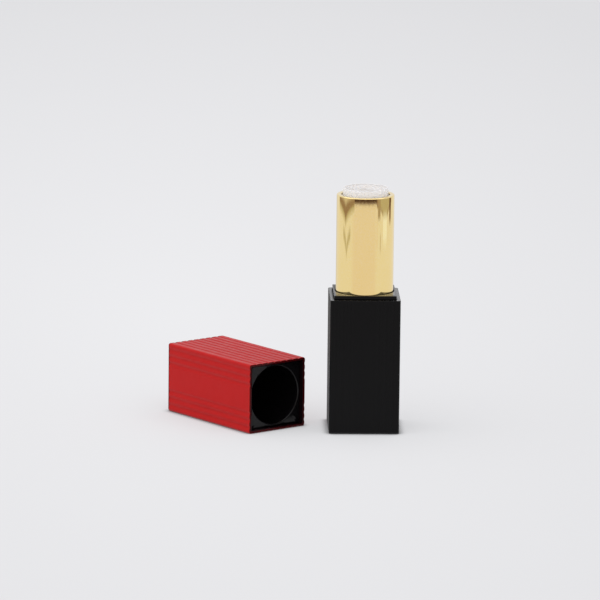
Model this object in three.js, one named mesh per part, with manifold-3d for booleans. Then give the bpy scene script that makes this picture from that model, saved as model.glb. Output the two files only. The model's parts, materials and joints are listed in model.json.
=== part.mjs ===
// An empty twist-up lipstick case, raised, with its square cap lying on its side beside it.
// Millimetres, +Z up. The origin is the centre of the base's underside, and -Y is the base's front.
import * as THREE from 'three';
import { mergeVertices } from 'three/addons/utils/BufferGeometryUtils.js';
import Module from 'manifold-3d';

const wasm = await Module();
wasm.setup();

// Driving dimensions of the square case
const CASE_WIDTH = 20.5;
const CASE_CORNER = 0.7;
const BASE_HEIGHT = 39.6;
const BASE_WALL = 1.1;
const BASE_FLOOR = 1.2;
const CAP_LENGTH = 39.7;
const CAP_WALL = 0.9;
const CAP_END = 1.2;
const INNER_CORNER = 0.4;

// Lengthwise grooves: evenly spaced on the two sides, in two groups beside a plain band on front and back
const GROOVE_MOUTH = 0.7;
const GROOVE_FLOOR = 0.34;
const GROOVE_DEPTH = 0.28;
const SIDE_PITCH = 2.24;
const SIDE_STEPS = [-3.5, -2.5, -1.5, -0.5, 0.5, 1.5, 2.5, 3.5];
const FRONT_PITCH = 2.09;
const FRONT_STEPS = [-4, -3, -2, 2, 3, 4];

// Where the loose cap lies: the centre of its mouth, and how far its length is turned from the X axis
const CAP_MOUTH_X = -25.22;
const CAP_MOUTH_Y = -4.76;
const CAP_HEADING = THREE.MathUtils.degToRad(53.305);

// Driving dimensions of the twist mechanism, all on the Z axis
const SLEEVE_RADIUS = 8.4;
const SLEEVE_WALL = 0.35;
const SLEEVE_TOP = 69.3;
const SLEEVE_BOTTOM = 31.2;
const SLEEVE_EDGE = 0.45;
const SLEEVE_MOUTH_RADIUS = 7.1;
const CUP_RADIUS = 6.65;
const CUP_WALL = 0.6;
const CUP_RIM = 71.2;
const CUP_HEIGHT = 12.5;
const CUP_FLOOR = 1.2;
const CUP_DRAIN_RADIUS = 1.6;
const TRAVEL = 24;
const HELIX_LEAD = 16;
const LUG_RADIUS = 1;
const LUG_REACH = 7.65;
const LUG_ABOVE_CUP_BOTTOM = 1.5;
const FORK_INNER_RADIUS = 6.75;
const FORK_WALL = 0.5;
const SPIRAL_INNER_RADIUS = 7.33;
const SPIRAL_OUTER_RADIUS = 7.98;
const HELIX_GROOVE_RADIUS = 7.8;
const HELIX_GROOVE_HEIGHT = 2.5;
const RING_SECTION_RADIUS = 0.34;

// Gaps
const FIT_GAP = 0.07;
const END_GAP = 0.1;
const SLEEVE_CLEARANCE = 0.2;
const SLOT_CLEARANCE = 0.15;

// Facets
const ROUND_SEGMENTS = 48;
const CORNER_SEGMENTS = 4;
const SMALL_ROUND_SEGMENTS = 16;
const EDGE_STEPS = 3;
const RING_SEGMENTS = 8;

// Levels that follow from the driving dimensions
const FORK_OUTER_RADIUS = FORK_INNER_RADIUS + FORK_WALL;
const SHOULDER_RADIUS = SLEEVE_RADIUS - SLEEVE_WALL - END_GAP;
const COLLAR_HEIGHT = 1.15;
const COLLAR_TOP = BASE_HEIGHT + COLLAR_HEIGHT;
const CARRIER_TOP = SLEEVE_BOTTOM - SLEEVE_CLEARANCE;
const CARRIER_BOTTOM = 9.1;
const CARRIER_POCKET_TOP = 17;
const CARRIER_FLOOR = 2.5;
const CARRIER_SEAT = CARRIER_POCKET_TOP + CARRIER_FLOOR;
const FORK_BOTTOM = CARRIER_SEAT + END_GAP;
const SHOULDER_TOP = SLEEVE_BOTTOM + 1;
const RING_CENTRE = SHOULDER_TOP + RING_SECTION_RADIUS + FIT_GAP;
const SPIRAL_BOTTOM = RING_CENTRE + RING_SECTION_RADIUS + END_GAP;
const FORK_TOP = SLEEVE_TOP - SLEEVE_WALL - SLEEVE_CLEARANCE;
const FORK_BEAD_HEIGHT = 0.65;
const FORK_BEAD_RADIUS = 7.7;
const SPIRAL_TOP = FORK_TOP - FORK_BEAD_HEIGHT - END_GAP;
const CUP_BOTTOM = CUP_RIM - CUP_HEIGHT;
const LUG_RAISED = CUP_BOTTOM + LUG_ABOVE_CUP_BOTTOM;
const LUG_LOWERED = LUG_RAISED - TRAVEL;

// Solids

function asSolid(geometry) {
  const bare = geometry.clone();
  bare.deleteAttribute('normal');
  bare.deleteAttribute('uv');
  const merged = mergeVertices(bare);
  return new wasm.Manifold(new wasm.Mesh({
    numProp: 3,
    vertProperties: new Float32Array(merged.attributes.position.array),
    triVerts: new Uint32Array(merged.index.array),
  }));
}

function asGeometry(solid) {
  const mesh = solid.getMesh();
  const geometry = new THREE.BufferGeometry();
  geometry.setAttribute('position', new THREE.BufferAttribute(mesh.vertProperties, mesh.numProp));
  geometry.setIndex(new THREE.BufferAttribute(mesh.triVerts, 1));
  geometry.computeVertexNormals();
  return geometry;
}

function cut(geometry, ...tools) {
  return asGeometry(tools.reduce((solid, tool) => solid.subtract(asSolid(tool)), asSolid(geometry)));
}

function join(geometry, ...others) {
  return asGeometry(others.reduce((solid, other) => solid.add(asSolid(other)), asSolid(geometry)));
}

function prism(outline, bottom, top, curveSegments = CORNER_SEGMENTS) {
  const depth = top - bottom;
  const geometry = new THREE.ExtrudeGeometry(outline, { depth, curveSegments, bevelEnabled: false });
  return geometry.translate(0, 0, bottom);
}

function column(radius, bottom, top) {
  const geometry = new THREE.CylinderGeometry(radius, radius, top - bottom, ROUND_SEGMENTS);
  return geometry.rotateX(Math.PI / 2).translate(0, 0, (top + bottom) / 2);
}

// A ring turned about Z from a closed outline of [radius, height] points, given anticlockwise.
function turned(outline) {
  const points = [...outline, outline[0]].map(([radius, height]) => new THREE.Vector2(radius, height));
  return new THREE.LatheGeometry(points, ROUND_SEGMENTS).rotateX(Math.PI / 2);
}

function squareOutline(halfWidth, corner) {
  const inset = halfWidth - corner;
  const outline = new THREE.Shape();
  for (let side = 0; side < 4; side += 1) {
    const turn = side * Math.PI / 2;
    const centre = new THREE.Vector2(inset, -inset).rotateAround(new THREE.Vector2(), turn);
    outline.absarc(centre.x, centre.y, corner, turn - Math.PI / 2, turn);
  }
  return outline;
}

// The case's square section, with its lengthwise grooves.
function ribbedOutline() {
  const half = CASE_WIDTH / 2;
  const inset = half - CASE_CORNER;
  const sidePoint = (along, out, turn) => new THREE.Vector2(along, -out).rotateAround(new THREE.Vector2(), turn);
  const outline = new THREE.Shape();
  outline.moveTo(-inset, -half);
  for (let side = 0; side < 4; side += 1) {
    const turn = side * Math.PI / 2;
    const isFrontOrBack = side % 2 === 0;
    const steps = isFrontOrBack ? FRONT_STEPS : SIDE_STEPS;
    const pitch = isFrontOrBack ? FRONT_PITCH : SIDE_PITCH;
    for (const step of steps) {
      const groove = [
        [step * pitch - GROOVE_MOUTH / 2, half],
        [step * pitch - GROOVE_FLOOR / 2, half - GROOVE_DEPTH],
        [step * pitch + GROOVE_FLOOR / 2, half - GROOVE_DEPTH],
        [step * pitch + GROOVE_MOUTH / 2, half],
      ];
      for (const [along, out] of groove) {
        const point = sidePoint(along, out, turn);
        outline.lineTo(point.x, point.y);
      }
    }
    const centre = sidePoint(inset, inset, turn);
    outline.absarc(centre.x, centre.y, CASE_CORNER, turn - Math.PI / 2, turn);
  }
  return outline;
}

// Static pieces of the base

function baseShell() {
  const cavity = squareOutline(CASE_WIDTH / 2 - BASE_WALL, INNER_CORNER);
  return cut(prism(ribbedOutline(), 0, BASE_HEIGHT), prism(cavity, BASE_FLOOR, BASE_HEIGHT + 1));
}

function baseWeight() {
  const halfWidth = 8.1;
  const height = 7.4;
  const bevel = 0.5;
  const options = {
    depth: height - 2 * bevel,
    bevelThickness: bevel,
    bevelSize: bevel,
    bevelSegments: 1,
    curveSegments: CORNER_SEGMENTS,
  };
  const geometry = new THREE.ExtrudeGeometry(squareOutline(halfWidth - bevel, 1), options);
  return geometry.translate(0, 0, BASE_FLOOR + END_GAP + bevel);
}

// Square outside, round inside: it holds the fork in the shell, with a pocket under it for the weight.
function mechanismCarrier() {
  const pocketHalfWidth = 7.4;
  const passageRadius = 4;
  const outside = squareOutline(CASE_WIDTH / 2 - BASE_WALL - FIT_GAP, INNER_CORNER);
  return cut(
    prism(outside, CARRIER_BOTTOM, CARRIER_TOP),
    column(SHOULDER_RADIUS + FIT_GAP, CARRIER_SEAT, CARRIER_TOP + 1),
    prism(squareOutline(pocketHalfWidth, 1), CARRIER_BOTTOM - 1, CARRIER_POCKET_TOP),
    column(passageRadius, CARRIER_POCKET_TOP - 1, CARRIER_SEAT + 1),
  );
}

// The glossy square shoulder that stands out of the shell and that the cap's mouth covers.
function shoulderCollar() {
  const bottom = CARRIER_TOP + END_GAP;
  const outside = squareOutline(CASE_WIDTH / 2 - BASE_WALL - FIT_GAP, INNER_CORNER);
  const bore = column(SLEEVE_RADIUS + SLEEVE_CLEARANCE, bottom - 1, COLLAR_TOP + 1);
  return cut(prism(outside, bottom, COLLAR_TOP), bore);
}

// Twist mechanism

// The fork keeps the cup from turning: a fixed tube with a straight slot down each side for the cup's lugs.
function forkTube() {
  const footInnerRadius = 5;
  const footThickness = 1.4;
  const tube = turned([
    [footInnerRadius, FORK_BOTTOM],
    [SHOULDER_RADIUS, FORK_BOTTOM],
    [SHOULDER_RADIUS, SHOULDER_TOP],
    [FORK_OUTER_RADIUS, SHOULDER_TOP],
    [FORK_OUTER_RADIUS, FORK_TOP - FORK_BEAD_HEIGHT],
    [FORK_BEAD_RADIUS, FORK_TOP - FORK_BEAD_HEIGHT],
    [FORK_OUTER_RADIUS, FORK_TOP],
    [FORK_INNER_RADIUS, FORK_TOP],
    [FORK_INNER_RADIUS, FORK_BOTTOM + footThickness],
    [footInnerRadius, FORK_BOTTOM + footThickness],
  ]);
  const halfWidth = LUG_RADIUS + SLOT_CLEARANCE;
  const slot = new THREE.Shape();
  slot.absarc(0, LUG_RAISED, halfWidth, 0, Math.PI);
  slot.absarc(0, LUG_LOWERED, halfWidth, Math.PI, 2 * Math.PI);
  const span = 2 * SHOULDER_RADIUS;
  const cutter = prism(slot, -span / 2, span / 2, SMALL_ROUND_SEGMENTS / 2);
  return cut(tube, cutter.rotateX(Math.PI / 2).rotateZ(Math.PI / 2));
}

function brakeRing() {
  const radius = FORK_OUTER_RADIUS + FIT_GAP + RING_SECTION_RADIUS;
  const geometry = new THREE.TorusGeometry(radius, RING_SECTION_RADIUS, RING_SEGMENTS, ROUND_SEGMENTS);
  return geometry.translate(0, 0, RING_CENTRE);
}

// A bar bent around Z that climbs by the helix's lead in each turn, anticlockwise seen from above.
function helicalBar(innerRadius, outerRadius, height, fromAngle, toAngle, levelAtZero) {
  const sweep = toAngle - fromAngle;
  const segments = Math.round(sweep / (2 * Math.PI / ROUND_SEGMENTS));
  const bar = new THREE.BoxGeometry(sweep, outerRadius - innerRadius, height, segments, 1, 1);
  const place = bar.attributes.position;
  for (let index = 0; index < place.count; index += 1) {
    const angle = place.getX(index) + (fromAngle + toAngle) / 2;
    const radius = (innerRadius + outerRadius) / 2 - place.getY(index);
    const level = place.getZ(index) + levelAtZero + HELIX_LEAD * angle / (2 * Math.PI);
    place.setXYZ(index, radius * Math.cos(angle), radius * Math.sin(angle), level);
  }
  return bar;
}

// The spiral turns with the sleeve, and its two grooves drive the lugs up and down the fork's slots.
function spiralTube() {
  const tube = turned([
    [SPIRAL_INNER_RADIUS, SPIRAL_BOTTOM],
    [SPIRAL_OUTER_RADIUS, SPIRAL_BOTTOM],
    [SPIRAL_OUTER_RADIUS, SPIRAL_TOP],
    [SPIRAL_INNER_RADIUS, SPIRAL_TOP],
  ]);
  const overrun = 2 * (2 * Math.PI / ROUND_SEGMENTS);
  const sweep = 2 * Math.PI * TRAVEL / HELIX_LEAD;
  const groove = () => helicalBar(
    FORK_OUTER_RADIUS,
    HELIX_GROOVE_RADIUS,
    HELIX_GROOVE_HEIGHT,
    -sweep - overrun,
    overrun,
    LUG_RAISED,
  );
  return cut(tube, groove(), groove().rotateZ(Math.PI));
}

function goldSleeve() {
  const outerEdge = [];
  for (let step = 0; step <= EDGE_STEPS; step += 1) {
    const angle = step / EDGE_STEPS * Math.PI / 2;
    outerEdge.push([
      SLEEVE_RADIUS - SLEEVE_EDGE + SLEEVE_EDGE * Math.cos(angle),
      SLEEVE_TOP - SLEEVE_EDGE + SLEEVE_EDGE * Math.sin(angle),
    ]);
  }
  return turned([
    [SLEEVE_RADIUS - SLEEVE_WALL, SLEEVE_BOTTOM],
    [SLEEVE_RADIUS, SLEEVE_BOTTOM],
    ...outerEdge,
    [SLEEVE_MOUTH_RADIUS, SLEEVE_TOP],
    [SLEEVE_MOUTH_RADIUS, SLEEVE_TOP - SLEEVE_WALL],
    [SLEEVE_RADIUS - SLEEVE_WALL, SLEEVE_TOP - SLEEVE_WALL],
  ]);
}

// The cup that holds the bullet, with grip ribs inside it and a lug on each side near its foot.
function bulletCup() {
  const inner = CUP_RADIUS - CUP_WALL;
  const floorTop = CUP_BOTTOM + CUP_FLOOR;
  const wall = turned([
    [CUP_DRAIN_RADIUS, CUP_BOTTOM],
    [CUP_RADIUS, CUP_BOTTOM],
    [CUP_RADIUS, CUP_RIM],
    [inner, CUP_RIM],
    [inner, floorTop],
    [CUP_DRAIN_RADIUS, floorTop],
  ]);
  const lugLength = LUG_REACH - inner;
  const ribDepth = 0.35;
  const ribWidth = 0.6;
  const ribHeight = 7;
  const extras = [];
  for (const side of [0, Math.PI]) {
    const lug = new THREE.CylinderGeometry(LUG_RADIUS, LUG_RADIUS, lugLength, SMALL_ROUND_SEGMENTS);
    lug.rotateZ(Math.PI / 2).translate(LUG_REACH - lugLength / 2, 0, LUG_RAISED).rotateZ(side);
    extras.push(lug);
  }
  for (let quarter = 0; quarter < 4; quarter += 1) {
    const rib = new THREE.BoxGeometry(ribDepth + CUP_WALL / 2, ribWidth, ribHeight + CUP_FLOOR / 2);
    rib.translate(inner - ribDepth / 2 + CUP_WALL / 4, 0, floorTop + ribHeight / 2 - CUP_FLOOR / 4);
    extras.push(rib.rotateZ(quarter * Math.PI / 2));
  }
  return join(wall, ...extras);
}

// Cap, upright as it sits on the base: its mouth at level 0, facing down

function capShell() {
  const cavity = squareOutline(CASE_WIDTH / 2 - CAP_WALL, INNER_CORNER);
  return cut(prism(ribbedOutline(), 0, CAP_LENGTH), prism(cavity, -1, CAP_LENGTH - CAP_END));
}

// A round cup with a square flange just inside the mouth, and four low ribs that grip the sleeve.
function capLiner() {
  const boreRadius = SLEEVE_RADIUS + SLEEVE_CLEARANCE;
  const tubeRadius = 9.2;
  const leadIn = 0.35;
  const face = 1.3;
  const flange = 1.6;
  const endWall = 1;
  const end = CAP_LENGTH - CAP_END - 0.6;
  const halfWidth = CASE_WIDTH / 2 - CAP_WALL - FIT_GAP;
  const body = join(
    prism(squareOutline(halfWidth, INNER_CORNER), face, face + flange),
    column(tubeRadius, face + flange / 2, end),
  );
  const mouth = new THREE.CylinderGeometry(boreRadius, boreRadius + 2 * leadIn, 2 * leadIn, ROUND_SEGMENTS);
  mouth.rotateX(Math.PI / 2).translate(0, 0, face);
  const hollow = cut(body, column(boreRadius, face - 1, end - endWall), mouth);
  const ribReach = 0.12;
  const ribWidth = 0.7;
  const ribLength = 16;
  const ribs = [];
  for (let quarter = 0; quarter < 4; quarter += 1) {
    const rib = new THREE.BoxGeometry(2 * ribReach, ribWidth, ribLength);
    rib.translate(boreRadius, 0, face + flange + ribLength / 2);
    ribs.push(rib.rotateZ(quarter * Math.PI / 2 + Math.PI / 4));
  }
  return join(hollow, ...ribs);
}

// Assembly

function piece(name, geometry, color, roughness, metalness) {
  const mesh = new THREE.Mesh(geometry, new THREE.MeshStandardMaterial({ color, roughness, metalness }));
  mesh.name = name;
  return mesh;
}

function baseAssembly() {
  const base = new THREE.Group();
  base.add(
    piece('base_shell', baseShell(), 0x151516, 0.45, 0),
    piece('shoulder_collar', shoulderCollar(), 0x0c0c0d, 0.12, 0),
    piece('mechanism_carrier', mechanismCarrier(), 0x202020, 0.5, 0),
    piece('base_weight', baseWeight(), 0x8c8f94, 0.4, 1),
    piece('fork_tube', forkTube(), 0xe9e6df, 0.4, 0),
    piece('brake_ring', brakeRing(), 0xb9b5ab, 0.7, 0),
    piece('spiral_tube', spiralTube(), 0xdedbd2, 0.4, 0),
    piece('gold_sleeve', goldSleeve(), 0xe3c07a, 0.12, 1),
    piece('bullet_cup', bulletCup(), 0xf3f1ec, 0.35, 0),
  );
  return base;
}

// The cap lies on one of its evenly grooved sides, so its own X axis points up.
function capAssembly() {
  const cap = new THREE.Group();
  cap.rotation.y = -Math.PI / 2;
  cap.add(
    piece('cap_shell', capShell(), 0xb92d2c, 0.5, 0),
    piece('cap_liner', capLiner(), 0x111112, 0.25, 0),
  );
  const lyingCap = new THREE.Group();
  lyingCap.position.set(CAP_MOUTH_X, CAP_MOUTH_Y, CASE_WIDTH / 2);
  lyingCap.rotation.z = -CAP_HEADING;
  lyingCap.add(cap);
  return lyingCap;
}

const lipstickCase = new THREE.Group();
lipstickCase.add(baseAssembly(), capAssembly());

export default lipstickCase;
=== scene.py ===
"""The looks of an empty twist-up lipstick case: a ribbed black base standing up with its gold
sleeve and white cup raised, and its ribbed red cap lying on one side. Everything is in metres, in
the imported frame's own axes, unless a comment says otherwise."""
import json
import math
from collections import namedtuple

import bmesh
import bpy
from mathutils import Matrix, Vector


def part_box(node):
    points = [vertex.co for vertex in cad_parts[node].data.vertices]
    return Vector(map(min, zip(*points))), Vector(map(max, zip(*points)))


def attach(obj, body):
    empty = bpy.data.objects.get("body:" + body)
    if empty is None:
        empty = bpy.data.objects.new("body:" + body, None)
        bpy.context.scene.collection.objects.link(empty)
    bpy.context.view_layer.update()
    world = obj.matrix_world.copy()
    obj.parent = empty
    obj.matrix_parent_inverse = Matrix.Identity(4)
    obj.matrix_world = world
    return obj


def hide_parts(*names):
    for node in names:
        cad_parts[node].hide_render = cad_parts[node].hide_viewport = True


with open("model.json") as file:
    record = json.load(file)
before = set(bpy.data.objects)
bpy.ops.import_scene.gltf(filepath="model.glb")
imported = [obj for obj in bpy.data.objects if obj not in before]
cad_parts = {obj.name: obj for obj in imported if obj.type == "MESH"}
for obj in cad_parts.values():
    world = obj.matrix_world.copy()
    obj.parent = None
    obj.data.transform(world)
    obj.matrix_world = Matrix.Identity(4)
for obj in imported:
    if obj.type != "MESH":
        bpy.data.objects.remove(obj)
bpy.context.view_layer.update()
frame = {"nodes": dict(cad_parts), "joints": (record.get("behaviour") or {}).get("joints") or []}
MM = 0.001

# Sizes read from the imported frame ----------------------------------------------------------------

BASE_LOW, BASE_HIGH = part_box("base_shell")
COLLAR_LOW, COLLAR_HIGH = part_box("shoulder_collar")
SLEEVE_LOW, SLEEVE_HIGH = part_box("gold_sleeve")
CUP_LOW, CUP_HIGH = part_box("bullet_cup")
CAP_LOW, CAP_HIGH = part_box("cap_shell")

CASE_WIDTH = BASE_HIGH.x - BASE_LOW.x
HALF = CASE_WIDTH / 2
BASE_HEIGHT = BASE_HIGH.z
SLEEVE_RADIUS = SLEEVE_HIGH.x
CUP_RADIUS = CUP_HIGH.y
CAP_PULL = next(j for j in frame["joints"] if j["name"] == "cap_pull")
CAP_AXIS = Vector(CAP_PULL["axis"]).normalized()
CAP_CENTRE = (CAP_LOW + CAP_HIGH) / 2
CAP_SPAN = CAP_HIGH.x - CAP_LOW.x
CAP_LENGTH = (CAP_SPAN - CASE_WIDTH * abs(CAP_AXIS.y)) / abs(CAP_AXIS.x)

# Details of the case that the frame's boxes don't give -------------------------------------------

CASE_CORNER = 0.7 * MM
STRAIGHT = HALF - CASE_CORNER
INNER_CORNER = 0.4 * MM
POCKET_CORNER = 1 * MM
BASE_WALL = 1.1 * MM
BASE_FLOOR = 1.2 * MM
BASE_END_BEVEL = 0.32 * MM
CAP_WALL = 0.9 * MM
CAP_END = 1.2 * MM
CAP_END_BEVEL = 0.65 * MM
MOUTH_BEVEL = 0.12 * MM
SHELL_LIP = 0.06 * MM
LINER_SET_BACK = 1.3 * MM
FIT_GAP = 0.07 * MM
RUNNING_GAP = 0.2 * MM
SLEEVE_WALL = 0.35 * MM
SLEEVE_EDGE = 0.28 * MM
SLEEVE_MOUTH_RADIUS = 7.1 * MM
CUP_WALL = 0.6 * MM
CUP_FLOOR = 1.2 * MM
CUP_EDGE = 0.14 * MM

# Two opposite faces have six grooves and the other two have eight. A groove is (half width,
# depth). The crests between neighbouring grooves stand RIB_CROWN above their own sides.
SIDE_PITCH = 2.24 * MM
FRONT_PITCH = 2.09 * MM
SIDE_GROOVE = (0.62 * MM, 0.2 * MM)
FRONT_GROOVE = (0.98 * MM, 0.22 * MM)
SIDE_GROOVES = [SIDE_PITCH * step for step in (-3.5, -2.5, -1.5, -0.5, 0.5, 1.5, 2.5, 3.5)]
FRONT_GROOVES = [FRONT_PITCH * step for step in (-4, -3, -2, 2, 3, 4)]
RIB_CROWN = 0.01 * MM

ROUND_STEPS = 128
CORNER_STEPS = 6
GROOVE_SAMPLES = 10
CREST_SHARES = (0.35, 0.5, 0.65)
BEVEL_STEPS = 4
LUG_STEPS = 32

# Each ring of points carries three marks for the materials, mostly from 0 to 1. The first is wear,
# where it rubs in use. The second, one value for each point, is 0 on a plain part of a face; it
# paints shade into the grooves, and on the crests it paints a highlight where it is below 0 and
# shade where it is above. The third is where the coat stops and the moulding shows; it also paints
# shade onto the closed ends' edges, and on the cup it paints the inside lighter. A pair of the
# second mark's values is (on the crests, in the grooves). RIM_BARE is how bare the mouths' rims are,
# and the constant after it is how much painted shade the closed ends' edges get.
Ring = namedtuple("Ring", "points wear dust bare", defaults=(0,))
SIDE_SHADING = (0.35, 0.5)
FRONT_SHADING = (-0.1, 0.1)
SHADING_RANGE = (-0.35, 1)
RIM_BARE = 0.85
EDGE_SHADE = 0.6
FAINT_WEAR = 0.3
SOME_WEAR = 0.4
POCKET_WEAR = 0.6
LEAD_IN_WEAR = 0.7
RIM_WEAR = 0.8
FULL_WEAR = 1.0

# Settings of the materials. A span is the part of a noise's range, or of the range of an edge's
# pointiness, that is spread out and used.
NOISE_SPAN = (0.3, 0.7)
FINE_SPAN = (0.35, 0.65)
SPECKLE_SPAN = (0.42, 0.68)
SCRATCH_SPAN = (0.35, 0.75)
EDGE_SPAN = (0.52, 0.6)
# How strongly the grooves' painted shade and the crests' painted highlights show.
SHADING_SHARE = 0.75
BARE_ROUGHNESS = 0.08
# How much lighter the cup's inside is painted, lifting its shade.
INSIDE_LIGHT = 1.15
# How much darker the cup's rim is drawn.
RIM_DARKENING = 0.7

# A mix node's number and colour sockets have the same names, so its colours go by place.
MIX_COLOUR_INPUTS = (6, 7)
MIX_COLOUR_OUTPUT = 2

# The studio. Angles are in degrees, tones are linear, and glows are strengths of emission. The
# floor's glow falls from PAPER_GLOW at POOL_REACH to DIM_GLOW, and rises again to POOL_GLOW at
# POOL_CENTRE. POOL_EDGE is the share of the way in at which it is dimmest.
LENS_MM = 328.1
SENSOR_MM = 36
CAMERA_CLIP = (0.05, 20)
CAMERA_YAW_PITCH_ROLL = (1.642, 11.0985, 0.634)
CAMERA_PLACE = (-0.06362, -1.56513, 0.34490)
ROOM_TONE = (0.831, 0.831, 0.847)
PAPER_TONE = (0.285, 0.285, 0.29)
BOUNCE_TONE = (0.64, 0.64, 0.65)
PAPER_GLOW = 0.55
POOL_GLOW = 0.578
DIM_GLOW = 0.44
POOL_CENTRE = (-0.05, 0.16)
POOL_REACH = (1.05, 3.3)
POOL_EDGE = 0.73
CONTACT_REACH = 2.5 * MM
CONTACT_SAMPLES = 8
CONTACT_SPAN = (0.45, 0.95)
SHEET_HALF = 30
LAYER_STEP = 0.05 * MM
RIPPLE_RATE = 1.7
KEY_DIRECTION = (-0.15, -0.35, 0.9)
KEY_SPREAD = 120
KEY_STRENGTH = 1.6


# Meshes ------------------------------------------------------------------------------------------


def shade_evenly(piece):
    """Keeps large faces flat, so that only the rounded edges beside them look rounded."""
    shading = piece.modifiers.new("even_shading", "WEIGHTED_NORMAL")
    shading.weight = 100


def mesh_object(name, points, faces, marks):
    """A smooth mesh whose points carry the named marks."""
    mesh = bpy.data.meshes.new(name)
    mesh.from_pydata(points, [], faces)
    for mark, values in marks.items():
        mesh.attributes.new(mark, "FLOAT", "POINT").data.foreach_set("value", values)
    solid = bmesh.new()
    solid.from_mesh(mesh)
    bmesh.ops.recalc_face_normals(solid, faces=solid.faces)
    solid.to_mesh(mesh)
    solid.free()
    mesh.shade_smooth()
    piece = bpy.data.objects.new(name, mesh)
    bpy.context.scene.collection.objects.link(piece)
    shade_evenly(piece)
    return piece


def loft(name, rings, closed=False):
    """A surface through rings of equally many points: a loop of rings if closed, or else capped at
    both ends."""
    count = len(rings[0].points)
    faces = []
    gaps = len(rings) if closed else len(rings) - 1
    for index in range(gaps):
        here = index * count
        there = (index + 1) % len(rings) * count
        for step in range(count):
            after = (step + 1) % count
            faces.append((here + step, here + after, there + after, there + step))
    if not closed:
        faces.append(tuple(reversed(range(count))))
        faces.append(tuple(range((len(rings) - 1) * count, len(rings) * count)))
    points = [point for ring in rings for point in ring.points]
    marks = {
        "wear": [ring.wear for ring in rings for _ in ring.points],
        "dust": [share for ring in rings for share in ring.dust],
        "bare": [ring.bare for ring in rings for _ in ring.points],
    }
    return mesh_object(name, points, faces, marks)


def quarter_bevel(radius, start_level, direction):
    """(inset, level, wear) down a rounded edge, from the flat end face at start_level to the wall.
    Wear is greatest in the middle of the edge."""
    steps = []
    for index in range(BEVEL_STEPS + 1):
        angle = math.pi / 2 * index / BEVEL_STEPS
        inset = radius * (1 - math.sin(angle))
        level = start_level + direction * radius * (1 - math.cos(angle))
        steps.append((inset, level, math.sin(2 * angle)))
    return steps


# The square ribbed section -----------------------------------------------------------------------


# The grooves of one kind of face. Going round the section, the two kinds take turns.
Side = namedtuple("Side", "grooves pitch half_width depth crest_dust groove_dust")
FRONT = Side(FRONT_GROOVES, FRONT_PITCH, *FRONT_GROOVE, *FRONT_SHADING)
FLANK = Side(SIDE_GROOVES, SIDE_PITCH, *SIDE_GROOVE, *SIDE_SHADING)


def side_stations(side):
    """Distances along one side at which the outline has points: close together in each groove."""
    stations = {-STRAIGHT, STRAIGHT}
    for centre in side.grooves:
        for index in range(GROOVE_SAMPLES + 1):
            stations.add(centre + side.half_width * (2 * index / GROOVE_SAMPLES - 1))
    for before, after in zip(side.grooves, side.grooves[1:]):
        if after - before > 2 * side.pitch:
            continue
        for share in CREST_SHARES:
            stations.add(before + (after - before) * share)
    return sorted(stations)


def groove_shape(along, side):
    """(depth below the crest, value of the painted shading) at one distance along a side."""
    nearest = min(side.grooves, key=lambda centre: abs(along - centre))
    away = abs(along - nearest)
    if away < side.half_width:
        share = 0.5 + 0.5 * math.cos(math.pi * away / side.half_width)
        dust = side.crest_dust + (side.groove_dust - side.crest_dust) * share
        return RIB_CROWN + (side.depth - RIB_CROWN) * share, dust
    beside_groove = away <= side.pitch / 2
    if not (beside_groove and min(side.grooves) < along < max(side.grooves)):
        return 0, 0
    off_middle = (side.pitch / 2 - away) / (side.pitch / 2 - side.half_width)
    return RIB_CROWN * off_middle**2, side.crest_dust


def square_ring(level, wear=0, half=HALF, corner=CASE_CORNER, inset=0, ribbed=True, bare=0):
    """One turn round the square section at a level, with or without its grooves. Its edge is moved
    in by inset, which leaves only the parts of the grooves that are deeper than that."""
    points = []
    dust = []
    straight = half - corner
    scale = straight / STRAIGHT
    reach = corner - inset
    for quarter, side in enumerate((FRONT, FLANK, FRONT, FLANK)):
        turn = Matrix.Rotation(quarter * math.pi / 2, 3, "Z")
        for along in side_stations(side):
            depth, share = groove_shape(along, side) if ribbed else (0, 0)
            points.append(turn @ Vector((along * scale, max(inset, depth) - half, level)))
            dust.append(share)
        for index in range(1, CORNER_STEPS):
            angle = math.pi / 2 * index / CORNER_STEPS
            x = straight + reach * math.sin(angle)
            y = -straight - reach * math.cos(angle)
            points.append(turn @ Vector((x, y, level)))
            dust.append(0)
    return Ring(points, wear, dust, bare)


def plain_ring(level, half, corner, wear=0, inset=0, bare=0):
    """A turn round a square section of any size, without grooves."""
    return square_ring(level, wear, half, corner, inset, ribbed=False, bare=bare)


def round_ring(level, radius, wear=0):
    """A circle whose points lie in the same directions from the axis as the square section's."""
    guide = square_ring(level, ribbed=False).points
    points = []
    for point in guide:
        flat = Vector((point.x, point.y, 0)).normalized() * radius
        points.append(Vector((flat.x, flat.y, level)))
    return Ring(points, wear, [0] * len(points))


def closed_end_rings(recess):
    """The flat end at level 0. recess is (half width, depth) of a shallow pocket, or None."""
    if recess is None:
        return [plain_ring(0, HALF / 2, POCKET_CORNER)]
    half, depth = recess
    return [
        plain_ring(depth, half - SHELL_LIP, POCKET_CORNER),
        plain_ring(depth, half, POCKET_CORNER),
        plain_ring(SHELL_LIP, half, POCKET_CORNER, FAINT_WEAR),
        plain_ring(0, half + SHELL_LIP, POCKET_CORNER, POCKET_WEAR),
    ]


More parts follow.
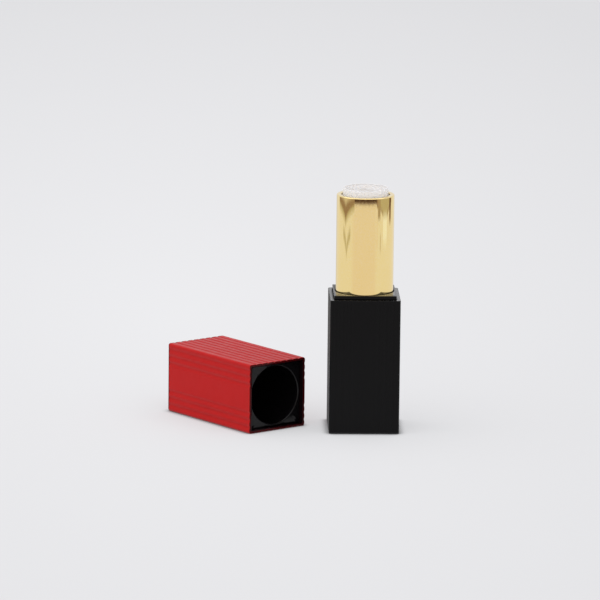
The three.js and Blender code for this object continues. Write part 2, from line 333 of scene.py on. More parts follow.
def ribbed_shell(name, length, wall, closed_end, end_bevel, recess=None):
    """A square ribbed shell along Z, closed at level 0 and open at the far end."""
    inner = HALF - wall
    bevel_reach = 1.5 * end_bevel
    rings = closed_end_rings(recess)
    rings.append(plain_ring(0, HALF - bevel_reach, INNER_CORNER))
    # The closed end's rounded edge gets painted shade: it is drawn in the moulding's dark colour.
    for inset, level, wear in quarter_bevel(end_bevel, 0, 1):
        rings.append(square_ring(level, wear, inset=inset, bare=EDGE_SHADE))
    rings.append(square_ring(bevel_reach))
    for inset, level, wear in reversed(quarter_bevel(MOUTH_BEVEL, length, -1)):
        bare = RIM_BARE * inset / MOUTH_BEVEL
        rings.append(square_ring(level, wear, inset=inset, bare=bare))
    rings += [
        plain_ring(length, inner + wall / 2, INNER_CORNER, bare=RIM_BARE),
        plain_ring(length, inner + SHELL_LIP, INNER_CORNER, bare=1),
        plain_ring(length - SHELL_LIP, inner, INNER_CORNER, bare=1),
        plain_ring(closed_end + SHELL_LIP, inner, INNER_CORNER, bare=1),
        plain_ring(closed_end, inner - SHELL_LIP, INNER_CORNER, bare=1),
    ]
    return loft(name, rings)


# Round pieces ------------------------------------------------------------------------------------


def arc(centre, radius, start, end, wear=0.0, bare=0.0, steps=BEVEL_STEPS):
    """Profile points (radius, level, wear, bare mark) along an arc, with its angles in degrees. The
    bare mark also carries painted light.
    """
    points = []
    for index in range(steps + 1):
        angle = math.radians(start + (end - start) * index / steps)
        out = centre[0] + radius * math.cos(angle)
        level = centre[1] + radius * math.sin(angle)
        points.append((out, level, wear, bare))
    return points


def circle_ring(level, radius, steps, wear=0, bare=0):
    """A turn of evenly spaced points round the axis."""
    points = []
    for index in range(steps):
        angle = 2 * math.pi * index / steps
        points.append(Vector((radius * math.cos(angle), radius * math.sin(angle), level)))
    return Ring(points, wear, [0] * steps, bare)


def turned(name, profile):
    """A ring of revolution about Z. Its section is the closed profile of (radius, level, wear,
    bare mark), where the bare mark also carries painted light."""
    rings = []
    for radius, level, wear, bare in profile:
        rings.append(circle_ring(level, radius, ROUND_STEPS, wear, bare))
    return loft(name, rings, closed=True)


def combine(piece, tool, operation):
    """Applies an exact boolean of tool to piece, and removes the tool."""
    modifier = piece.modifiers.new("combine", "BOOLEAN")
    modifier.operation = operation
    modifier.solver = "EXACT"
    modifier.object = tool
    piece.modifiers.remove(piece.modifiers["even_shading"])
    graph = bpy.context.evaluated_depsgraph_get()
    mesh = bpy.data.meshes.new_from_object(piece.evaluated_get(graph))
    piece.modifiers.clear()
    piece.data = mesh
    bpy.data.objects.remove(tool)
    shade_evenly(piece)


def rounded_bar(name, size, centre, turn=0.0, bevel=0.08 * MM):
    """A box with chamfered edges, along X before it is turned about Z."""
    x, y, z = (value / 2 for value in size)
    rings = []
    for level, inset in ((-z, bevel), (bevel - z, 0), (z - bevel, 0), (z, bevel)):
        rings.append(bar_ring(x - inset, y - inset, level, bevel))
    bar = loft(name, rings)
    bar.data.transform(Matrix.Rotation(turn, 4, "Z") @ Matrix.Translation(centre))
    return bar


def bar_ring(x, y, level, bevel):
    """A turn round the bar: a rectangle with its corners cut off."""
    corners = (
        (x, y - bevel),
        (x - bevel, y),
        (bevel - x, y),
        (-x, y - bevel),
        (-x, bevel - y),
        (bevel - x, -y),
        (x - bevel, -y),
        (x, bevel - y),
    )
    return Ring([Vector((px, py, level)) for px, py in corners], 0, [0] * len(corners))


# Materials ---------------------------------------------------------------------------------------


class Nodes:
    """A material's node tree, with one short call for each kind of node that is used often."""

    def __init__(self, name):
        self.material = bpy.data.materials.new(name)
        self.material.use_nodes = True
        self.tree = self.material.node_tree
        self.shader = self.tree.nodes["Principled BSDF"]
        self.place = self.tree.nodes.new("ShaderNodeTexCoord").outputs["Object"]

    def link(self, source, target):
        self.tree.links.new(source, target)

    def feed(self, name, source):
        """Links an output to one of the shader's inputs."""
        self.link(source, self.shader.inputs[name])

    def set(self, **values):
        """Sets the shader's own inputs, with _ for each space in their names."""
        for name, value in values.items():
            self.shader.inputs[name.replace("_", " ")].default_value = value

    def noise(self, size, detail=3.0, stretch=(1, 1, 1)):
        """Noise whose blotches are about size across, stretched along the axes."""
        mapping = self.tree.nodes.new("ShaderNodeMapping")
        mapping.inputs["Scale"].default_value = [1 / value for value in stretch]
        node = self.tree.nodes.new("ShaderNodeTexNoise")
        node.inputs["Scale"].default_value = 1 / size
        node.inputs["Detail"].default_value = detail
        self.link(self.place, mapping.inputs["Vector"])
        self.link(mapping.outputs["Vector"], node.inputs["Vector"])
        return node.outputs["Fac"]

    def varied(self, size, detail, low, high):
        """Noise spread over the range from low to high."""
        return self.remap(self.noise(size, detail), *NOISE_SPAN, low, high)

    def clouded(self, colour, size, spread):
        """A colour that drifts lighter and darker by the share that spread gives."""
        light = shaded(colour, 1 + spread)
        return self.mix(self.noise(size, 2.0), shaded(colour, 1 - spread), light)

    def mark(self, name):
        node = self.tree.nodes.new("ShaderNodeAttribute")
        node.attribute_name = name
        return node.outputs["Fac"]

    def edge(self):
        """1 on a mesh's convex edges, for the pieces that carry no wear mark."""
        geometry = self.tree.nodes.new("ShaderNodeNewGeometry")
        return self.remap(geometry.outputs["Pointiness"], *EDGE_SPAN, 0, 1)

    def remap(self, value, low, high, new_low, new_high):
        node = self.tree.nodes.new("ShaderNodeMapRange")
        node.inputs["From Min"].default_value = low
        node.inputs["From Max"].default_value = high
        node.inputs["To Min"].default_value = new_low
        node.inputs["To Max"].default_value = new_high
        self.link(value, node.inputs["Value"])
        return node.outputs["Result"]

    def math(self, operation, first, second):
        """A sum or product, kept between 0 and 1. Each term is a number or a node's output."""
        node = self.tree.nodes.new("ShaderNodeMath")
        node.operation = operation
        node.use_clamp = True
        for socket, value in zip(node.inputs, (first, second)):
            if isinstance(value, (int, float)):
                socket.default_value = value
            else:
                self.link(value, socket)
        return node.outputs["Value"]

    def blend(self, share, first, second):
        """A number between the output first and the number second."""
        node = self.tree.nodes.new("ShaderNodeMix")
        self.link(share, node.inputs["Factor"])
        self.link(first, node.inputs["A"])
        node.inputs["B"].default_value = second
        return node.outputs["Result"]

    def mix(self, share, first, second):
        """A colour between first and second: each is a colour or another node's output."""
        node = self.tree.nodes.new("ShaderNodeMix")
        node.data_type = "RGBA"
        self.link(share, node.inputs["Factor"])
        for place, value in zip(MIX_COLOUR_INPUTS, (first, second)):
            socket = node.inputs[place]
            if isinstance(value, tuple):
                socket.default_value = (*value, 1)
            else:
                self.link(value, socket)
        return node.outputs[MIX_COLOUR_OUTPUT]

    def bump(self, height, strength, distance, below=None):
        node = self.tree.nodes.new("ShaderNodeBump")
        node.inputs["Strength"].default_value = strength
        node.inputs["Distance"].default_value = distance
        self.link(height, node.inputs["Height"])
        if below is not None:
            self.link(below, node.inputs["Normal"])
        return node.outputs["Normal"]


def shaded(colour, factor):
    """A colour made darker or lighter by a factor."""
    return tuple(min(1.0, channel * factor) for channel in colour)


def worn_share(nodes, edge, speckle_size, amount):
    """Where an edge is rubbed: broken up by a fine speckle, so that it is never an even line."""
    speckle = nodes.remap(nodes.noise(speckle_size, 4.0), *SPECKLE_SPAN, 0, amount)
    return nodes.math("MULTIPLY", edge, speckle)


def coated_material(name, colour, worn, moulding_and_edge_shade, roughness, specular, bare_specular, wear, sheen):
    """A satin coat over black plastic: fine orange peel, faint clouding, rubbed edges, painted shade
    in the grooves and on one pair of faces' crests, a painted highlight on the other pair's crests,
    and the bare moulding where the coat stops, whose dark colour is also painted onto the closed
    ends' edges as shade."""
    nodes = Nodes(name)
    clouds = nodes.clouded(colour, 4 * MM, 0.06)
    grain = nodes.remap(nodes.noise(0.3 * MM), *FINE_SPAN, 0, 0.35)
    fine = nodes.mix(grain, clouds, shaded(colour, 1.12))
    # Painted shade in the grooves, and painted highlights on the crests that are marked below 0.
    dust = nodes.remap(nodes.mark("dust"), *SHADING_RANGE, 0, SHADING_SHARE)
    shaded_grooves = nodes.mix(dust, fine, shaded(colour, 0.6))
    rubbed = nodes.mix(worn_share(nodes, nodes.mark("wear"), 0.5 * MM, wear), shaded_grooves, worn)
    # The bare moulding where the coat stops, and painted shade in the same dark colour on the closed
    # ends' edges.
    bare = nodes.mark("bare")
    ragged = nodes.math("MULTIPLY", bare, nodes.varied(0.25 * MM, 3.0, -0.25, 0.25))
    coat_ends_and_edge_shade = nodes.math("ADD", bare, ragged)
    nodes.feed("Base Color", nodes.mix(coat_ends_and_edge_shade, rubbed, moulding_and_edge_shade))
    patches = nodes.varied(2.5 * MM, 4.0, roughness - 0.05, roughness + 0.05)
    nodes.feed("Roughness", nodes.blend(coat_ends_and_edge_shade, patches, BARE_ROUGHNESS))
    nodes.feed("Specular IOR Level", nodes.remap(coat_ends_and_edge_shade, 0, 1, specular, bare_specular))
    peel = nodes.noise(0.09 * MM)
    nodes.feed("Normal", nodes.bump(peel, 0.12, 0.02 * MM))
    if sheen:
        nodes.feed("Sheen Weight", nodes.remap(coat_ends_and_edge_shade, 0, 0.5, sheen, 0))
        nodes.set(Sheen_Roughness=0.4, Sheen_Tint=(0.92, 0.95, 1.0, 1))
    return nodes.material


def glossy_material(name, colour, worn, roughness, specular=0.5, marked=True):
    """Polished moulded plastic with a faint flow pattern, hairline scratches and softened edges."""
    nodes = Nodes(name)
    flow = nodes.clouded(colour, 6 * MM, 0.15)
    edge = nodes.mark("wear") if marked else nodes.edge()
    nodes.feed("Base Color", nodes.mix(worn_share(nodes, edge, 0.4 * MM, 0.4), flow, worn))
    scratches = nodes.noise(0.35 * MM, 2.0, stretch=(1, 14, 1))
    rough = nodes.remap(scratches, *SCRATCH_SPAN, roughness * 0.8, roughness * 1.7)
    nodes.feed("Roughness", rough)
    nodes.feed("Normal", nodes.bump(scratches, 0.04, 0.01 * MM))
    nodes.set(Specular_IOR_Level=specular)
    return nodes.material


def gold_material():
    """Bright gold anodised metal: drawn rings too faint to see alone, a slow tint change and a
    rubbed rim."""
    rich = (0.94, 0.725, 0.30)
    pale = (0.965, 0.765, 0.345)
    worn = (0.96, 0.86, 0.66)
    nodes = Nodes("gold_anodised")
    tint = nodes.mix(nodes.noise(9 * MM, 2.0), rich, pale)
    rubbed = nodes.mix(worn_share(nodes, nodes.mark("wear"), 0.35 * MM, 0.35), tint, worn)
    nodes.feed("Base Color", rubbed)
    rings = nodes.noise(0.25 * MM, 2.0, stretch=(30, 30, 0.25))
    nodes.feed("Roughness", nodes.remap(rings, *NOISE_SPAN, 0.012, 0.036))
    nodes.feed("Normal", nodes.bump(rings, 0.004, 0.01 * MM))
    nodes.set(Metallic=1.0)
    return nodes.material


def moulded_white_material(name, colour, worn, roughness, translucence, marked=True):
    """Natural white plastic that lets a little light in, with faint mould flow and handling marks.
    On the marked pieces the rim is drawn darker, and the inside is painted lighter than the outside
    to lift its shade."""
    nodes = Nodes(name)
    flow_lines = nodes.noise(3 * MM, stretch=(1, 1, 3))
    flow = nodes.mix(flow_lines, shaded(colour, 0.95), shaded(colour, 1.03))
    if marked:
        edge = nodes.mark("wear")
        # The inside is painted lighter, lifting its shade.
        flow = nodes.mix(nodes.mark("bare"), flow, shaded(colour, INSIDE_LIGHT))
        # The rim is drawn darker than the rest.
        flow = nodes.mix(edge, flow, shaded(colour, RIM_DARKENING))
    else:
        edge = nodes.edge()
    nodes.feed("Base Color", nodes.mix(worn_share(nodes, edge, 0.4 * MM, 0.4), flow, worn))
    nodes.feed("Roughness", nodes.varied(1.2 * MM, 3.0, roughness - 0.06, roughness + 0.06))
    nodes.feed("Normal", nodes.bump(nodes.noise(0.15 * MM), 0.06, 0.02 * MM))
    nodes.set(Subsurface_Weight=translucence, Subsurface_Scale=1.5 * MM)
    nodes.set(Subsurface_Radius=(1, 0.95, 0.9))
    return nodes.material


def steel_material():
    """A tumbled steel slug with dull patches and brighter edges."""
    dull = (0.32, 0.32, 0.33)
    clean = (0.50, 0.50, 0.51)
    worn = (0.75, 0.75, 0.76)
    nodes = Nodes("tumbled_steel")
    tone = nodes.mix(nodes.noise(1.5 * MM, 4.0), dull, clean)
    nodes.feed("Base Color", nodes.mix(worn_share(nodes, nodes.edge(), 0.4 * MM, 0.8), tone, worn))
    nodes.feed("Roughness", nodes.varied(0.6 * MM, 3.0, 0.3, 0.55))
    nodes.feed("Normal", nodes.bump(nodes.noise(0.2 * MM), 0.2, 0.02 * MM))
    nodes.set(Metallic=1.0)
    return nodes.material


def paper_nodes(name, tone):
    """Plain matt paper whose tone drifts too little to draw the eye."""
    nodes = Nodes(name)
    nodes.feed("Base Color", nodes.clouded(tone, 60 * MM, 0.005))
    nodes.feed("Roughness", nodes.varied(2 * MM, 2.0, 0.85, 0.95))
    nodes.set(Specular_IOR_Level=0.0, Emission_Color=(*ROOM_TONE, 1))
    return nodes


def pool_glow(nodes):
    """The seen paper's glow: brightest in the lamps' pool, dimmest round it, and the same as the
    other paper's far away."""
    mapping = nodes.tree.nodes.new("ShaderNodeMapping")
    mapping.vector_type = "TEXTURE"
    mapping.inputs["Location"].default_value = (*POOL_CENTRE, 0)
    mapping.inputs["Scale"].default_value = (*POOL_REACH, 1)
    gradient = nodes.tree.nodes.new("ShaderNodeTexGradient")
    gradient.gradient_type = "SPHERICAL"
    nodes.link(nodes.place, mapping.inputs["Vector"])
    nodes.link(mapping.outputs["Vector"], gradient.inputs["Vector"])
    outer = nodes.remap(gradient.outputs["Fac"], 0, POOL_EDGE, PAPER_GLOW, DIM_GLOW)
    inner = nodes.remap(gradient.outputs["Fac"], POOL_EDGE, 1, 0, POOL_GLOW - DIM_GLOW)
    return nodes.math("ADD", outer, inner)


def off_contacts(nodes):
    """1 on open paper, falling to 0 close to whatever stands on it."""
    openness = nodes.tree.nodes.new("ShaderNodeAmbientOcclusion")
    openness.inputs["Distance"].default_value = CONTACT_REACH
    openness.samples = CONTACT_SAMPLES
    return nodes.remap(openness.outputs["AO"], *CONTACT_SPAN, 0, 1)


def glow_material():
    """Light or shade for the cards that only reflections see, in the tone that each point has."""
    material = bpy.data.materials.new("reflected_tone")
    material.use_nodes = True
    tree = material.node_tree
    tree.nodes.remove(tree.nodes["Principled BSDF"])
    tone = tree.nodes.new("ShaderNodeAttribute")
    tone.attribute_name = "tone"
    glow = tree.nodes.new("ShaderNodeEmission")
    tree.links.new(tone.outputs["Color"], glow.inputs["Color"])
    surface = tree.nodes["Material Output"].inputs["Surface"]
    tree.links.new(glow.outputs["Emission"], surface)
    return material


# Pieces ------------------------------------------------------------------------------------------


def finish_piece(piece, material, body, slot, *nodes):
    """Gives a piece its look and its body, and hides the CAD nodes that it stands in for. Its slot
    is not used.
    """
    piece.data.materials.clear()
    piece.data.materials.append(material)
    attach(piece, body)
    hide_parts(*nodes)


def make_base_shell(material):
    """The outer shell of the base, with a shallow blank label pocket underneath."""
    shell = ribbed_shell(
        "ribbed_base",
        BASE_HEIGHT,
        BASE_WALL,
        BASE_FLOOR,
        BASE_END_BEVEL,
        recess=(7.2 * MM, 0.15 * MM),
    )
    finish_piece(shell, material, "base", "black_shell", "base_shell")


def make_collar(material):
    """The square shoulder: its top edge softly rounded, its bore a little wider than the sleeve."""
    half = COLLAR_HIGH.x
    top = COLLAR_HIGH.z
    edge = 0.14 * MM
    lip = 0.12 * MM
    bore = SLEEVE_RADIUS + RUNNING_GAP
    rings = [plain_ring(COLLAR_LOW.z, half, INNER_CORNER)]
    for inset, level, wear in reversed(quarter_bevel(edge, top, -1)):
        rings.append(plain_ring(level, half, INNER_CORNER, wear, inset))
    rings.append(round_ring(top, bore + lip))
    rings.append(round_ring(top - lip, bore, SOME_WEAR))
    rings.append(round_ring(COLLAR_LOW.z, bore))
    collar = loft("glossy_shoulder", rings, closed=True)
    finish_piece(collar, material, "base", "black_gloss", "shoulder_collar")


def make_sleeve(material):
    """The drawn gold sleeve: a thin wall whose top is turned in to a smaller mouth."""
    top = SLEEVE_HIGH.z
    bottom = SLEEVE_LOW.z
    inner = SLEEVE_RADIUS - SLEEVE_WALL
    fold = 0.15 * MM
    outer_edge = (SLEEVE_RADIUS - SLEEVE_EDGE, top - SLEEVE_EDGE)
    lip_edge = (SLEEVE_MOUTH_RADIUS + fold, top - fold)
    profile = [
        (inner, bottom, 0.0, 0.0),
        *arc((SLEEVE_RADIUS - fold, bottom + fold), fold, -90, 0, FAINT_WEAR),
        *arc(outer_edge, SLEEVE_EDGE, 0, 90, RIM_WEAR, steps=2 * BEVEL_STEPS),
        *arc(lip_edge, fold, 90, 180, FULL_WEAR),
        (SLEEVE_MOUTH_RADIUS, top - SLEEVE_WALL, FAINT_WEAR, 0.0),
        (inner, top - SLEEVE_WALL, 0.0, 0.0),
    ]
    sleeve = turned("bright_sleeve", profile)
    finish_piece(sleeve, material, "sleeve", "gold", "gold_sleeve")


def add_lugs(cup, root, level):
    """Two round lugs that reach out from radius root, on opposite sides of the cup."""
    radius = 1 * MM
    bevel = 0.12 * MM
    length = CUP_HIGH.x - root
    outward = Matrix.Translation((CUP_HIGH.x, 0, level)) @ Matrix.Rotation(-math.pi / 2, 4, "Y")
    for turn in (0, math.pi):
        rings = [
            circle_ring(0, radius - bevel, LUG_STEPS, SOME_WEAR),
            circle_ring(bevel, radius, LUG_STEPS, SOME_WEAR),
            circle_ring(length, radius, LUG_STEPS, SOME_WEAR),
        ]
        lug = loft("lug", rings)
        lug.data.transform(Matrix.Rotation(turn, 4, "Z") @ outward)
        combine(cup, lug, "UNION")


def add_grip_ribs(cup, inner, floor):
    """Four upright ribs inside the cup that hold the bullet's foot. Each reaches into the wall and
    the floor, so that no gap is left."""
    height = 7 * MM
    depth = 0.35 * MM
    size = (depth + CUP_WALL / 2, 0.6 * MM, height + CUP_FLOOR / 2)
    centre = (inner - depth / 2 + CUP_WALL / 4, 0, floor + height / 2 - CUP_FLOOR / 4)
    for quarter in range(4):
        rib = rounded_bar("rib", size, centre, quarter * math.pi / 2)
        combine(cup, rib, "UNION")


def make_cup(material):
    """The bullet cup: thin walled, with grip ribs inside, a drain hole and two lugs. The plain
    points beside its edges keep the edges' wear off its long walls."""
    rim = CUP_HIGH.z
    foot = CUP_LOW.z
    inner = CUP_RADIUS - CUP_WALL
    drain = 1.6 * MM
    floor = foot + CUP_FLOOR
    corner = 0.3 * MM
    profile = [
        (drain, foot, 0.0, 0.0),
        *arc((CUP_RADIUS - CUP_EDGE, foot + CUP_EDGE), CUP_EDGE, -90, 0, FAINT_WEAR),
        (CUP_RADIUS, foot + 3 * CUP_EDGE, 0.0, 0.0),
        (CUP_RADIUS, rim - 2 * CUP_EDGE, 0.0, 0.0),
        *arc((CUP_RADIUS - CUP_EDGE, rim - CUP_EDGE), CUP_EDGE, 0, 90, RIM_WEAR),
        *arc((inner + CUP_EDGE, rim - CUP_EDGE), CUP_EDGE, 90, 180, RIM_WEAR),
        # From here on the inside, which is painted lighter to lift its shade.
        (inner, rim - 3 * CUP_EDGE, 0.0, 1.0),
        *arc((inner - corner, floor + corner), corner, 0, -90, bare=1.0),
        *arc((drain + CUP_EDGE, floor - CUP_EDGE), CUP_EDGE, 90, 180, FAINT_WEAR, bare=1.0),
    ]
    cup = turned("white_cup", profile)
    add_lugs(cup, inner + CUP_WALL / 3, foot + 1.5 * MM)
    add_grip_ribs(cup, inner, floor)
    finish_piece(cup, material, "cup", "cup_white", "bullet_cup")


def cap_place():
    """Carries the cap from upright, with its closed end down at level 0, to where it lies."""
    closed_end = CAP_CENTRE + CAP_AXIS * CAP_LENGTH / 2
    to_mouth = -CAP_AXIS
    up = Vector((0, 0, 1))
    across = to_mouth.cross(up)
    turn = Matrix((up, across, to_mouth)).transposed().to_4x4()
    return Matrix.Translation(closed_end) @ turn


def make_cap_shell(material):
    """The outer shell of the cap, lying down."""
    shell = ribbed_shell("ribbed_cap", CAP_LENGTH, CAP_WALL, CAP_END, CAP_END_BEVEL)
    shell.data.transform(cap_place())
    finish_piece(shell, material, "cap", "red_shell", "cap_shell")


def liner_directions():
    """Directions round the liner's axis, close together near its diagonals, where its corners and
    ribs are."""
    close = [step * 0.35 for step in range(-10, 11)]
    even = [step * 3 for step in range(2, 29)]
    degrees = []
    for diagonal in (45, 135, 225, 315):
        degrees += [(diagonal + step) % 360 for step in close + even]
    return [math.radians(value) for value in sorted(degrees)]


def square_reach(direction, half, corner):
    """Distance from the centre of a round-cornered square to its edge, in one direction."""
    off_side = abs((direction + math.pi / 4) % (math.pi / 2) - math.pi / 4)
    straight = half - corner
    if half * math.tan(off_side) <= straight:
        return half / math.cos(off_side)
    along = straight * (math.cos(off_side) + math.sin(off_side))
    return along + math.sqrt(along**2 - 2 * straight**2 + corner**2)


def liner_ring(level, reach, wear=0):
    """One turn round the liner, where reach gives the distance from the axis in each direction."""
    points = []
    for direction in liner_directions():
        out = reach(direction)
        points.append(Vector((out * math.cos(direction), out * math.sin(direction), level)))
    return Ring(points, wear, [0] * len(points))


def make_cap_liner(material):
    """A round cup with a square flange inside the cap's mouth, and four low ribs that grip the
    sleeve."""
    half = HALF - CAP_WALL - FIT_GAP
    face = CAP_LENGTH - LINER_SET_BACK
    flange_back = face - 1.6 * MM
    end = CAP_END + 0.6 * MM
    end_wall = 1 * MM
    tube = 9.2 * MM
    bore = SLEEVE_RADIUS + RUNNING_GAP
    lead_in = 0.35 * MM
    edge = 0.1 * MM
    rib_length = 16 * MM
    rib_height = 0.12 * MM
    rib_angle = 0.35 * MM / bore
    ramp = 0.3 * MM

    def circle(radius):
        return lambda direction: radius

    def square(inset):
        return lambda direction: square_reach(direction, half - inset, INNER_CORNER)

    def ribbed_bore(direction):
        """The ribs are at full height across their middle half and slope away on both sides."""
        off_diagonal = abs(direction % (math.pi / 2) - math.pi / 4)
        rise = min(1, max(0, 2 - 2 * off_diagonal / rib_angle))
        return bore - rib_height * rise

    rings = [
        liner_ring(end, circle(tube - edge)),
        liner_ring(end + edge, circle(tube)),
        liner_ring(flange_back, circle(tube)),
        liner_ring(flange_back, square(0)),
        liner_ring(face - edge, square(0)),
        liner_ring(face, square(edge)),
    ]
    for index in range(BEVEL_STEPS + 1):
        angle = math.pi / 2 * index / BEVEL_STEPS
        radius = bore + lead_in * (1 - math.sin(angle))
        level = face - lead_in * (1 - math.cos(angle))
        rings.append(liner_ring(level, circle(radius), LEAD_IN_WEAR))
    rings += [
        liner_ring(flange_back, circle(bore)),
        liner_ring(flange_back - ramp, ribbed_bore),
        liner_ring(flange_back - rib_length + ramp, ribbed_bore),
        liner_ring(flange_back - rib_length, circle(bore)),
        liner_ring(end + end_wall + lead_in, circle(bore)),
        liner_ring(end + end_wall, circle(bore - lead_in)),
    ]
    liner = loft("black_liner", rings)
    liner.data.transform(cap_place())
    finish_piece(liner, material, "cap", "black_gloss", "cap_liner")


def dress_inner_nodes():
    """The hidden pieces keep their CAD shape, which carries no marks."""
    inner_white = moulded_white_material(
        "natural_plastic",
        colour=(0.75, 0.73, 0.68),
        worn=(0.82, 0.80, 0.76),
        roughness=0.42,
        translucence=0.1,
        marked=False,
    )
    inner_black = glossy_material(
        "inner_black",
        colour=(0.02, 0.02, 0.02),
        worn=(0.06, 0.06, 0.06),
        roughness=0.4,
        marked=False,
    )
    soft = moulded_white_material(
        "greased_ring",
        colour=(0.5, 0.48, 0.42),
        worn=(0.6, 0.58, 0.52),
        roughness=0.3,
        translucence=0.2,
        marked=False,
    )
    looks = {
        "fork_tube": inner_white,
        "spiral_tube": inner_white,
        "brake_ring": soft,
        "mechanism_carrier": inner_black,
        "base_weight": steel_material(),
    }
    for name, material in looks.items():
        mesh = frame["nodes"][name].data
        mesh.materials.clear()
        mesh.materials.append(material)


# Studio ------------------------------------------------------------------------------------------


def make_camera():
    """A long lens from in front, a little above the case. Yaw is to the right of +Y, pitch is
    downwards and roll is anticlockwise."""
    camera = bpy.data.objects.new("camera", bpy.data.cameras.new("camera"))
    bpy.context.scene.collection.objects.link(camera)
    camera.data.sensor_width = SENSOR_MM
    camera.data.lens = LENS_MM
    camera.data.clip_start, camera.data.clip_end = CAMERA_CLIP
    yaw, pitch, roll = (math.radians(value) for value in CAMERA_YAW_PITCH_ROLL)
    right = Vector((math.cos(yaw), -math.sin(yaw), 0))
    forward = Vector((
        math.sin(yaw) * math.cos(pitch),
        math.cos(yaw) * math.cos(pitch),
        -math.sin(pitch),
    ))
    up = right.cross(forward)
    rolled_right = right * math.cos(roll) + up * math.sin(roll)
    rolled_up = up * math.cos(roll) - right * math.sin(roll)
    turn = Matrix((rolled_right, rolled_up, -forward)).transposed().to_4x4()
    camera.matrix_world = Matrix.Translation(CAMERA_PLACE) @ turn
    bpy.context.scene.camera = camera


def studio_mesh(name, points, faces, material):
    """A mesh for the studio, linked to the scene."""
    mesh = bpy.data.meshes.new(name)
    mesh.from_pydata(points, [], faces)
    mesh.materials.append(material)
    item = bpy.data.objects.new(name, mesh)
    bpy.context.scene.collection.objects.link(item)
    return item


def make_sheet(name, level, material):
    """A very wide sheet of paper at one level."""
    half = SHEET_HALF
    corners = ((-half, -half), (half, -half), (half, half), (-half, half))
    points = [(x, y, level) for x, y in corners]
    sheet = studio_mesh(name, points, [(0, 1, 2, 3)], material)
    return sheet


def make_floor():
    """The paper three times over: as it is seen, a little lit from within so that its shadows stay
    faint; just below that, as it is reflected; and lowest, as it sends light back to the pieces,
    with true dark contacts."""
    pale = paper_nodes("pale_paper", PAPER_TONE)
    pale.feed("Emission Strength", pale.math("MULTIPLY", pool_glow(pale), off_contacts(pale)))
    seen = make_sheet("floor", 0, pale.material)
    seen.visible_diffuse = False
    seen.visible_glossy = False
    seen.visible_shadow = False
    even = paper_nodes("reflected_paper", PAPER_TONE)
    even.set(Emission_Strength=PAPER_GLOW)
    reflected = make_sheet("floor_reflected", -LAYER_STEP, even.material)
    reflected.visible_camera = False
    reflected.visible_diffuse = False
    reflected.visible_shadow = False
    unlit = paper_nodes("bouncing_paper", BOUNCE_TONE)
    bounce = make_sheet("floor_bounce", -2 * LAYER_STEP, unlit.material)
    bounce.visible_camera = False
    bounce.visible_glossy = False


def grid_faces(rows, steps):
    """The faces between neighbouring rows of points, where each row has steps + 1 points."""
    faces = []
    for row in range(rows - 1):
        here = row * (steps + 1)
        there = here + steps + 1
        faces += [(here + i, here + i + 1, there + i + 1, there + i) for i in range(steps)]
    return faces


def reflection_card(name, points, faces, tones):
    """A sheet that only reflections see, glowing in the tone that each point is given."""
    material = bpy.data.materials.get("reflected_tone") or glow_material()
    card = studio_mesh(name, points, faces, material)
    tone = card.data.attributes.new("tone", "FLOAT_COLOR", "POINT")
    tone.data.foreach_set("color", [channel for colour in tones for channel in (*colour, 1)])
    card.visible_camera = False
    card.visible_diffuse = False
    card.visible_transmission = False
    card.visible_shadow = False


def faded(tone, share):
    """A tone carried towards the paper's own, all the way when share is 0."""
    return tuple(paper + (channel - paper) * share for channel, paper in zip(tone, ROOM_TONE))


def table_sector(name, layer, start, end, bands, fade=0, ripple=0.0):
    """A sector of the table round the case's axis, between two directions in degrees from the
    camera's side towards the right. Each band is (distance, flare, tone): its edge lies further out
    by flare per root degree off the sector's middle, so that it comes to a point towards the case.
    Tones fade out over some degrees at both ends. Higher layers cover lower ones."""
    middle = (start + end) / 2
    steps = round(end - start)
    points = []
    tones = []
    for distance, flare, tone in bands:
        for index in range(steps + 1):
            turn = start + (end - start) * index / steps
            angle = math.radians(turn)
            wave = math.sin(turn * RIPPLE_RATE) + math.sin(turn * RIPPLE_RATE / math.sqrt(2))
            reach = distance + flare * math.sqrt(abs(turn - middle)) + ripple * wave
            points.append((reach * math.sin(angle), -reach * math.cos(angle), layer * LAYER_STEP))
            to_end = min(turn - start, end - turn)
            tones.append(faded(tone, min(1, to_end / fade)) if fade else tone)
    reflection_card(name, points, grid_faces(len(bands), steps), tones)


def dim_room(tone, spread, distance, height):
    """The dim end of the room behind the camera: a bent screen that fades out to both sides and
    upwards. spread is in degrees, to each side."""
    points = []
    tones = []
    steps = 2 * spread
    rows = ((0, 1), (height / 3, 0.9), (height, 0))
    for level, strength in rows:
        for index in range(steps + 1):
            turn = index - spread
            angle = math.radians(turn)
            points.append((distance * math.sin(angle), -distance * math.cos(angle), level))
            tones.append(faded(tone, strength * math.cos(math.pi / 2 * turn / spread) ** 2))
    reflection_card("dim_room", points, grid_faces(len(rows), steps), tones)


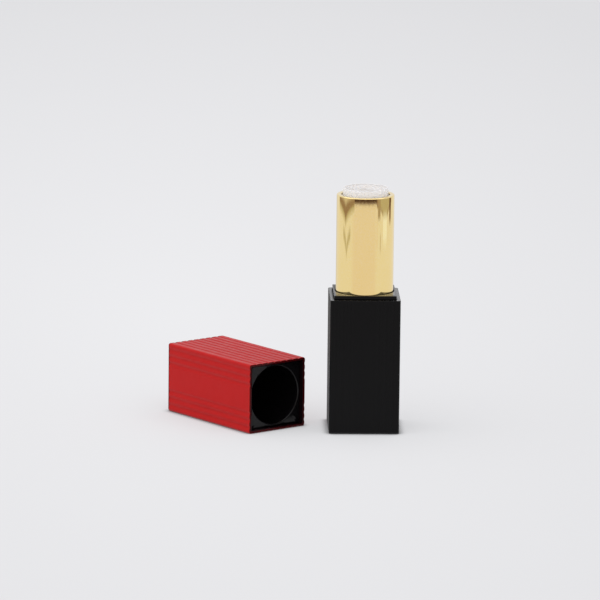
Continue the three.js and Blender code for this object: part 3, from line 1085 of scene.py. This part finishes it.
def make_reflection_cards():
    """What a mirror sees round the paper: its dark edge in front and at both sides, a lamp's pool
    on the right, dim gaps between the lamps, and the dim end of the room behind the camera. A
    sector is its name, its two directions, its bands and how far it fades at both ends."""
    paper = ROOM_TONE
    shade = (0.81, 0.765, 0.77)
    brown = (0.14, 0.08, 0.065)
    black = (0.06, 0.03, 0.02)
    umber = (0.32, 0.235, 0.18)
    dim = (0.42, 0.35, 0.28)
    olive = (0.52, 0.485, 0.375)
    haze = (0.64, 0.60, 0.55)
    lamp = (0.92, 1.0, 1.17)
    sectors = (
        ("back_shade", 150, 215, ((0.1, 0, haze), (0.7, 0, haze)), 28),
        ("front_shade", -60, 48, ((0.12, 0, shade), (0.40, 0, shade)), 14),
        ("left_faint", -99, -63, (
            (0.268, 0.0100, paper),
            (0.283, 0.0104, olive),
            (0.306, 0.0104, paper),
        )),
        ("left_edge", -128, -46, (
            (0.328, 0.0060, paper),
            (0.345, 0.0060, olive),
            (0.352, 0.0058, umber),
            (0.373, 0.0035, umber),
            (0.386, 0.0035, haze),
            (0.6, 0, haze),
        )),
        ("right_edge", 46, 122, (
            (0.326, 0.0090, paper),
            (0.332, 0.0090, dim),
            (0.347, 0.0080, olive),
            (0.6, 0, olive),
        )),
        ("right_arm", 49, 60, ((0.350, 0, paper), (0.362, 0, dim), (0.6, 0, dim))),
        ("front_end", 44, 49, (
            (0.300, 0, shade),
            (0.376, 0, shade),
            (0.381, 0, umber),
            (0.6, 0, umber),
        )),
        ("right_gap", 107, 119, (
            (0.335, 0, paper),
            (0.352, 0, umber),
            (0.380, 0, brown),
            (0.6, 0, black),
        )),
        ("right_pool", 73, 93, (
            (0.290, 0.002, paper),
            (0.322, 0, lamp),
            (0.350, 0, lamp),
            (0.372, 0, olive),
        )),
        ("right_line", 59, 63, (
            (0.285, 0, paper),
            (0.296, 0, haze),
            (0.318, 0, haze),
            (0.33, 0, paper),
        )),
    )
    for layer, (name, *sector) in enumerate(sectors, start=1):
        table_sector(name, layer, *sector)
    front = ((0.384, 0, shade), (0.388, 0, brown), (0.394, 0, black), (0.6, 0, black))
    table_sector("front_edge", len(sectors) + 1, -46, 44, front, ripple=0.002)
    dim_room(umber, spread=70, distance=0.85, height=1.1)


def soft_sun(name, towards, spread, strength):
    """A distant light as wide as spread that falls evenly on the whole floor. towards points from
    the case to the light."""
    lamp = bpy.data.lights.new(name, "SUN")
    lamp.angle = math.radians(spread)
    lamp.energy = strength
    light = bpy.data.objects.new(name, lamp)
    bpy.context.scene.collection.objects.link(light)
    light.rotation_euler = Vector(towards).to_track_quat("Z", "Y").to_euler()


def make_light():
    """An even pale room, and one very broad light from above and in front."""
    world = bpy.data.worlds.new("pale_room")
    world.use_nodes = True
    background = world.node_tree.nodes["Background"]
    background.inputs["Color"].default_value = (*ROOM_TONE, 1)
    bpy.context.scene.world = world
    soft_sun("front_light", KEY_DIRECTION, KEY_SPREAD, KEY_STRENGTH)


# Scene -------------------------------------------------------------------------------------------

bpy.context.scene.view_settings.view_transform = "Standard"
make_camera()
make_floor()
make_light()
make_reflection_cards()

satin_black = coated_material(
    "satin_black",
    colour=(0.0020, 0.0020, 0.0024),
    worn=(0.03, 0.03, 0.032),
    moulding_and_edge_shade=(0.005, 0.005, 0.0055),
    roughness=0.42,
    specular=0.14,
    bare_specular=0.5,
    wear=0.6,
    sheen=0,
)
satin_red = coated_material(
    "satin_red",
    colour=(0.455, 0.0028, 0.0025),
    worn=(0.55, 0.05, 0.045),
    moulding_and_edge_shade=(0.006, 0.0012, 0.002),
    roughness=0.46,
    specular=0.1,
    bare_specular=0.1,
    wear=0.4,
    sheen=0.14,
)
gloss_black = glossy_material(
    "gloss_black",
    colour=(0.0015, 0.0015, 0.0018),
    worn=(0.02, 0.02, 0.02),
    roughness=0.07,
    specular=0.12,
)
liner_black = glossy_material(
    "liner_black",
    colour=(0.0025, 0.0020, 0.0025),
    worn=(0.02, 0.02, 0.02),
    roughness=0.16,
    specular=0.25,
)
cup_white = moulded_white_material(
    "cup_white",
    colour=(0.725, 0.710, 0.706),
    worn=(0.60, 0.58, 0.57),
    roughness=0.45,
    translucence=0.8,
)

make_base_shell(satin_black)
make_collar(gloss_black)
make_sleeve(gold_material())
make_cup(cup_white)
make_cap_shell(satin_red)
make_cap_liner(liner_black)
dress_inner_nodes()
